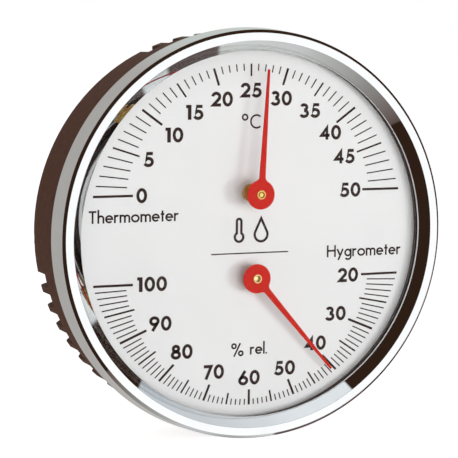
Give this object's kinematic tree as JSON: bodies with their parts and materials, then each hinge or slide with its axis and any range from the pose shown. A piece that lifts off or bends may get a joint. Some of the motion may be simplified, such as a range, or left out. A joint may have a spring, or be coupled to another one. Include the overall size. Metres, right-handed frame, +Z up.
{
  "type": "dial hygrometer",
  "caption": "Round wall-hung dial hygrometer with thermometer: chromed bezel, domed window, white dial, two spring-driven pointers and a vented housing.",
  "frame": {"origin": "centre of the flat back face, which lies against the wall", "axes": "+Y into the wall, along the dial's axis; the face looks along -Y; +Z up towards the thermometer scale; +X to the right as seen from the front"},
  "size_m": [0.1028, 0.031, 0.1028],
  "materials": {
    "housing_plastic": "dark brown moulded plastic with a fine satin texture",
    "bezel_chrome": "bright polished chrome plating",
    "clear_window": "clear polished acrylic",
    "seal_rubber": "black rubber",
    "spacer_plastic": "dark matte plastic",
    "dial_paint": "satin white lacquer with dark brown printing",
    "frame_steel": "zinc plated strip",
    "turned_brass": "turned brass",
    "bimetal": "rolled bimetal strip",
    "humidity_strip": "coated metal strip",
    "pointer_paint": "satin red lacquer"
  },
  "bodies": {
    "case": {"rear_housing": "housing_plastic", "bezel_ring": "bezel_chrome", "crystal": "clear_window", "crystal_seal": "seal_rubber", "dial_spacer_ring": "spacer_plastic", "dial_plate": "dial_paint", "thermometer_frame": "frame_steel", "thermometer_bushing": "turned_brass", "thermometer_rear_bearing": "turned_brass", "thermometer_anchor_post": "turned_brass", "thermometer_bimetal_spiral": "bimetal", "hygrometer_frame": "frame_steel", "hygrometer_bushing": "turned_brass", "adjuster_friction_washer": "frame_steel"},
    "thermometer_needle": {"thermometer_pointer": "pointer_paint", "thermometer_pointer_hub": "turned_brass", "thermometer_arbor": "turned_brass", "thermometer_collet": "turned_brass"},
    "adjuster_spindle": {"hygrometer_adjuster": "turned_brass", "hygrometer_regulator_arm": "frame_steel", "hygrometer_anchor_post": "turned_brass", "hygrometer_humidity_spiral": "humidity_strip"},
    "hygrometer_needle": {"hygrometer_pointer": "pointer_paint", "hygrometer_pointer_hub": "turned_brass", "hygrometer_arbor": "turned_brass", "hygrometer_collet": "turned_brass"}
  },
  "joints": [
    {"name": "thermometer_turn", "type": "hinge", "parent": "case", "child": "thermometer_needle", "pos_m": [0, 0, 0.0103], "axis": [0, 1, 0], "range_deg": [-95.05, 84.95], "stiffness_Nm_per_rad": 0.0005, "deforming": ["thermometer_bimetal_spiral"]},
    {"name": "calibration_turn", "type": "hinge", "parent": "case", "child": "adjuster_spindle", "pos_m": [0, 0, -0.0108], "axis": [0, 1, 0], "range_deg": [-15, 15]},
    {"name": "hygrometer_turn", "type": "hinge", "parent": "adjuster_spindle", "child": "hygrometer_needle", "pos_m": [0, 0, -0.0108], "axis": [0, 1, 0], "range_deg": [-48.2, 131.8], "stiffness_Nm_per_rad": 0.0005, "deforming": ["hygrometer_humidity_spiral"]}
  ]
}
